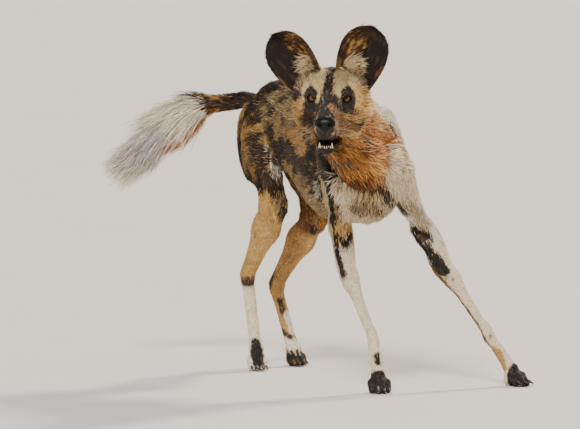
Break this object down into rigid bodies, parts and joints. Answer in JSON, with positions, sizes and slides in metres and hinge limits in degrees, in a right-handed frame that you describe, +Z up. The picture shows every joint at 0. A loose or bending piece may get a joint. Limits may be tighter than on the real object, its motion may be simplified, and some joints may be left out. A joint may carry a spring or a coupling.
{
  "type": "african wild dog",
  "caption": "African wild dog, life size and still, braced on splayed forelegs with the head turned and the plumed tail swung out.",
  "frame": {"origin": "on the floor, under the middle of the model's bounding box", "axes": "+Z up; the spine lies along Y with the chest towards -Y, so the dog's left side is +X"},
  "size_m": [0.6568, 1.115, 0.7774],
  "materials": {
    "brindle": "short dense coat, brindled",
    "tan": "short dense coat",
    "cream": "short dense coat",
    "white": "short coat, long plume on the tail",
    "rust": "long shaggy ruff",
    "dark": "short dense coat",
    "ear": "thin velvety coat",
    "nose": "damp, finely grained",
    "eye": "wet, glossy",
    "claw": "dull horn"
  },
  "bodies": {
    "root": {"torso": "brindle", "eye_left": "eye", "eye_right": "eye", "nose": "nose", "lower_jaw": "dark", "ear_left": "ear", "ear_right": "ear", "head": "cream", "shoulder_left": "cream", "forearm_left": "cream", "wrist_left": "white", "forepaw_left": "dark", "claw_forepaw_left_1": "claw", "claw_forepaw_left_2": "claw", "claw_forepaw_left_3": "claw", "claw_forepaw_left_4": "claw", "shoulder_right": "cream", "forearm_right": "cream", "wrist_right": "white", "forepaw_right": "dark", "claw_forepaw_right_1": "claw", "claw_forepaw_right_2": "claw", "claw_forepaw_right_3": "claw", "claw_forepaw_right_4": "claw", "thigh_left": "brindle", "shank_left": "tan", "hock_left": "white", "hindpaw_left": "dark", "claw_hindpaw_left_1": "claw", "claw_hindpaw_left_2": "claw", "claw_hindpaw_left_3": "claw", "claw_hindpaw_left_4": "claw", "thigh_right": "brindle", "shank_right": "tan", "hock_right": "white", "hindpaw_right": "dark", "claw_hindpaw_right_1": "claw", "claw_hindpaw_right_2": "claw", "claw_hindpaw_right_3": "claw", "claw_hindpaw_right_4": "claw", "neck": "rust", "tail_root": "dark", "tail_plume": "white"}
  },
  "joints": []
}
